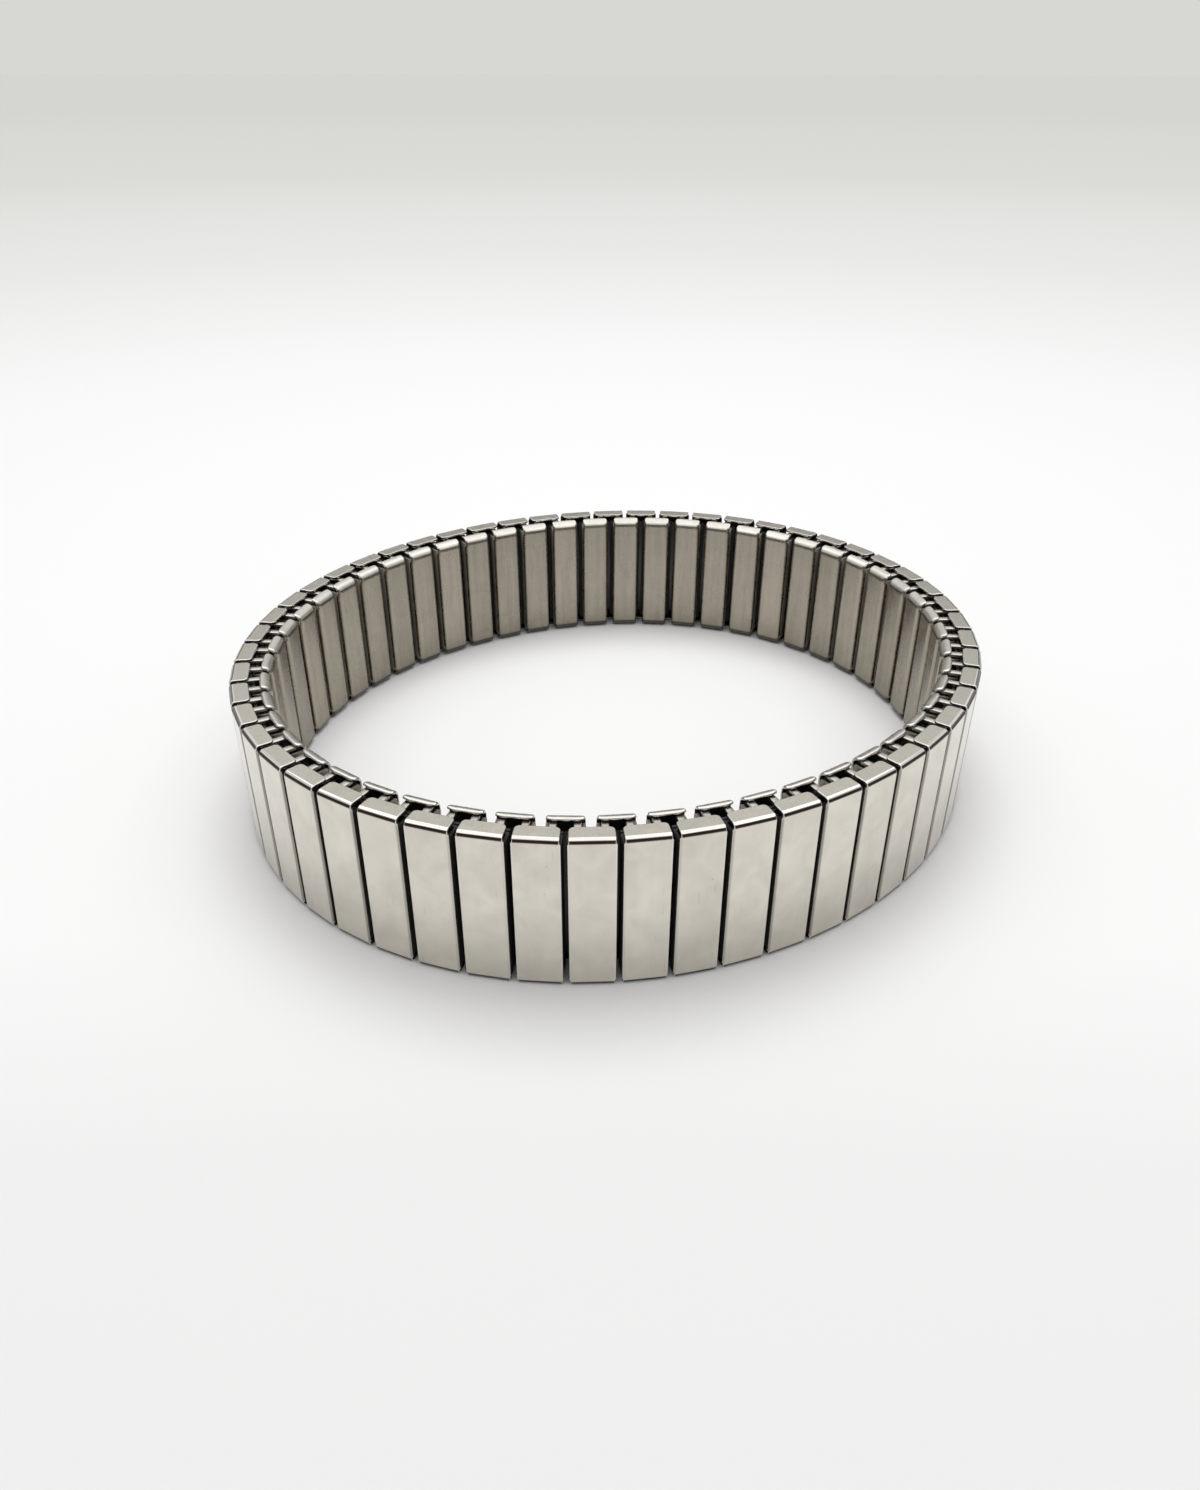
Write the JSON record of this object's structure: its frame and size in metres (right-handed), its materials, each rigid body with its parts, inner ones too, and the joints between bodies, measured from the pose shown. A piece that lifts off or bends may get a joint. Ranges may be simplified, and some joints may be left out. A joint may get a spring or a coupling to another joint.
{
  "type": "expansion watch band",
  "caption": "Endless stretch band of two layers of hollow polished steel links joined by bows, with leaf springs inside, standing on its edge as a slight oval.",
  "frame": {"origin": "centre of the ring's bounding box, on the plane of the edge that it stands on", "axes": "+Z across the band's width, -Y towards the front of the ring, +X to the right seen from the front"},
  "size_m": [0.0604, 0.0582, 0.012],
  "materials": {
    "polished_steel": "polished with fine handling scratches",
    "satin_steel": "fine grain along the link's length",
    "spring_steel": "rolled spring strip",
    "bow_steel": "bright drawn strip"
  },
  "bodies": {
    "section_01": {"outer_links_01": "polished_steel", "inner_links_01": "satin_steel", "leaf_springs_01": "spring_steel", "bows_01": "bow_steel"},
    "section_02": {"outer_links_02": "polished_steel", "inner_links_02": "satin_steel", "leaf_springs_02": "spring_steel", "bows_02": "bow_steel"},
    "section_03": {"outer_links_03": "polished_steel", "inner_links_03": "satin_steel", "leaf_springs_03": "spring_steel", "bows_03": "bow_steel"},
    "section_04": {"outer_links_04": "polished_steel", "inner_links_04": "satin_steel", "leaf_springs_04": "spring_steel", "bows_04": "bow_steel"},
    "section_05": {"outer_links_05": "polished_steel", "inner_links_05": "satin_steel", "leaf_springs_05": "spring_steel", "bows_05": "bow_steel"},
    "section_06": {"outer_links_06": "polished_steel", "inner_links_06": "satin_steel", "leaf_springs_06": "spring_steel", "bows_06": "bow_steel"},
    "section_07": {"outer_links_07": "polished_steel", "inner_links_07": "satin_steel", "leaf_springs_07": "spring_steel", "bows_07": "bow_steel"},
    "section_08": {"outer_links_08": "polished_steel", "inner_links_08": "satin_steel", "leaf_springs_08": "spring_steel", "bows_08": "bow_steel"},
    "section_09": {"outer_links_09": "polished_steel", "inner_links_09": "satin_steel", "leaf_springs_09": "spring_steel", "bows_09": "bow_steel"},
    "section_10": {"outer_links_10": "polished_steel", "inner_links_10": "satin_steel", "leaf_springs_10": "spring_steel", "bows_10": "bow_steel"},
    "section_11": {"outer_links_11": "polished_steel", "inner_links_11": "satin_steel", "leaf_springs_11": "spring_steel", "bows_11": "bow_steel"},
    "section_12": {"outer_links_12": "polished_steel", "inner_links_12": "satin_steel", "leaf_springs_12": "spring_steel", "bows_12": "bow_steel"},
    "seam_bow_pair_01": {"seam_bows_01": "bow_steel"},
    "seam_bow_pair_02": {"seam_bows_02": "bow_steel"},
    "seam_bow_pair_03": {"seam_bows_03": "bow_steel"},
    "seam_bow_pair_04": {"seam_bows_04": "bow_steel"},
    "seam_bow_pair_05": {"seam_bows_05": "bow_steel"},
    "seam_bow_pair_06": {"seam_bows_06": "bow_steel"},
    "seam_bow_pair_07": {"seam_bows_07": "bow_steel"},
    "seam_bow_pair_08": {"seam_bows_08": "bow_steel"},
    "seam_bow_pair_09": {"seam_bows_09": "bow_steel"},
    "seam_bow_pair_10": {"seam_bows_10": "bow_steel"},
    "seam_bow_pair_11": {"seam_bows_11": "bow_steel"},
    "seam_bow_pair_12": {"seam_bows_12": "bow_steel"}
  },
  "joints": [
    {"name": "spread_02", "type": "slide", "parent": "section_01", "child": "section_02", "axis": [0.8784, 0.478, 0], "range_m": [0, 0.000852]},
    {"name": "spread_03", "type": "slide", "parent": "section_01", "child": "section_03", "axis": [0.7468, 0.6651, 0], "range_m": [0, 0.00166]},
    {"name": "spread_04", "type": "slide", "parent": "section_01", "child": "section_04", "axis": [0.5584, 0.8296, 0], "range_m": [0, 0.00235]},
    {"name": "spread_05", "type": "slide", "parent": "section_01", "child": "section_05", "axis": [0.3171, 0.9484, 0], "range_m": [0, 0.00284]},
    {"name": "spread_06", "type": "slide", "parent": "section_01", "child": "section_06", "axis": [0.0457, 0.999, 0], "range_m": [0, 0.00308]},
    {"name": "stretch", "type": "slide", "parent": "section_01", "child": "section_07", "axis": [-0.2262, 0.9741, 0], "range_m": [0, 0.00314], "stiffness_N_per_m": 900},
    {"name": "spread_08", "type": "slide", "parent": "section_01", "child": "section_08", "axis": [-0.4818, 0.8763, 0], "range_m": [0, 0.00302]},
    {"name": "spread_09", "type": "slide", "parent": "section_01", "child": "section_09", "axis": [-0.7057, 0.7085, 0], "range_m": [0, 0.00276]},
    {"name": "spread_10", "type": "slide", "parent": "section_01", "child": "section_10", "axis": [-0.8771, 0.4804, 0], "range_m": [0, 0.00231]},
    {"name": "spread_11", "type": "slide", "parent": "section_01", "child": "section_11", "axis": [-0.9756, 0.2197, 0], "range_m": [0, 0.00165]},
    {"name": "spread_12", "type": "slide", "parent": "section_01", "child": "section_12", "axis": [-0.9997, -0.0228, 0], "range_m": [0, 0.000852]},
    {"name": "bow_tilt_01", "type": "hinge", "parent": "section_01", "child": "seam_bow_pair_01", "pos_m": [0.01311, -0.02454, 0.006], "axis": [0, 0, -1], "range_deg": [0, 20.35]},
    {"name": "bow_tilt_02", "type": "hinge", "parent": "section_03", "child": "seam_bow_pair_02", "pos_m": [0.02417, -0.01477, 0.006], "axis": [0, 0, 1], "range_deg": [0, 20.35]},
    {"name": "bow_tilt_03", "type": "hinge", "parent": "section_03", "child": "seam_bow_pair_03", "pos_m": [0.0298, 0.00027, 0.006], "axis": [0, 0, -1], "range_deg": [0, 20.35]},
    {"name": "bow_tilt_04", "type": "hinge", "parent": "section_05", "child": "seam_bow_pair_04", "pos_m": [0.02675, 0.01483, 0.006], "axis": [0, 0, 1], "range_deg": [0, 20.35]},
    {"name": "bow_tilt_05", "type": "hinge", "parent": "section_05", "child": "seam_bow_pair_05", "pos_m": [0.01521, 0.02591, 0.006], "axis": [0, 0, -1], "range_deg": [0, 20.35]},
    {"name": "bow_tilt_06", "type": "hinge", "parent": "section_06", "child": "seam_bow_pair_06", "pos_m": [0.00169, 0.02874, 0.006], "axis": [0, 0, -1], "range_deg": [0, 20.35]},
    {"name": "bow_tilt_07", "type": "hinge", "parent": "section_08", "child": "seam_bow_pair_07", "pos_m": [-0.01259, 0.02483, 0.006], "axis": [0, 0, 1], "range_deg": [0, 20.35]},
    {"name": "bow_tilt_08", "type": "hinge", "parent": "section_08", "child": "seam_bow_pair_08", "pos_m": [-0.02452, 0.01428, 0.006], "axis": [0, 0, -1], "range_deg": [0, 20.35]},
    {"name": "bow_tilt_09", "type": "hinge", "parent": "section_10", "child": "seam_bow_pair_09", "pos_m": [-0.02974, 0.00032, 0.006], "axis": [0, 0, 1], "range_deg": [0, 20.35]},
    {"name": "bow_tilt_10", "type": "hinge", "parent": "section_10", "child": "seam_bow_pair_10", "pos_m": [-0.02646, -0.01535, 0.006], "axis": [0, 0, -1], "range_deg": [0, 20.35]},
    {"name": "bow_tilt_11", "type": "hinge", "parent": "section_12", "child": "seam_bow_pair_11", "pos_m": [-0.01575, -0.02564, 0.006], "axis": [0, 0, 1], "range_deg": [0, 20.35]},
    {"name": "bow_tilt_12", "type": "hinge", "parent": "section_01", "child": "seam_bow_pair_12", "pos_m": [-0.00229, -0.02876, 0.006], "axis": [0, 0, 1], "range_deg": [0, 20.35]}
  ],
  "couplings": [
    {"joint": "spread_02", "follows": "stretch", "ratio": 0.27109},
    {"joint": "spread_03", "follows": "stretch", "ratio": 0.528},
    {"joint": "spread_04", "follows": "stretch", "ratio": 0.74882},
    {"joint": "spread_05", "follows": "stretch", "ratio": 0.90524},
    {"joint": "spread_06", "follows": "stretch", "ratio": 0.9813},
    {"joint": "spread_08", "follows": "stretch", "ratio": 0.96372},
    {"joint": "spread_09", "follows": "stretch", "ratio": 0.87921},
    {"joint": "spread_10", "follows": "stretch", "ratio": 0.7346},
    {"joint": "spread_11", "follows": "stretch", "ratio": 0.52609},
    {"joint": "spread_12", "follows": "stretch", "ratio": 0.27109},
    {"joint": "bow_tilt_01", "follows": "stretch", "rad_per_m": 113.25},
    {"joint": "bow_tilt_02", "follows": "stretch", "rad_per_m": 113.25},
    {"joint": "bow_tilt_03", "follows": "stretch", "rad_per_m": 113.25},
    {"joint": "bow_tilt_04", "follows": "stretch", "rad_per_m": 113.25},
    {"joint": "bow_tilt_05", "follows": "stretch", "rad_per_m": 113.25},
    {"joint": "bow_tilt_06", "follows": "stretch", "rad_per_m": 113.25},
    {"joint": "bow_tilt_07", "follows": "stretch", "rad_per_m": 113.25},
    {"joint": "bow_tilt_08", "follows": "stretch", "rad_per_m": 113.25},
    {"joint": "bow_tilt_09", "follows": "stretch", "rad_per_m": 113.25},
    {"joint": "bow_tilt_10", "follows": "stretch", "rad_per_m": 113.25},
    {"joint": "bow_tilt_11", "follows": "stretch", "rad_per_m": 113.25},
    {"joint": "bow_tilt_12", "follows": "stretch", "rad_per_m": 113.25}
  ]
}
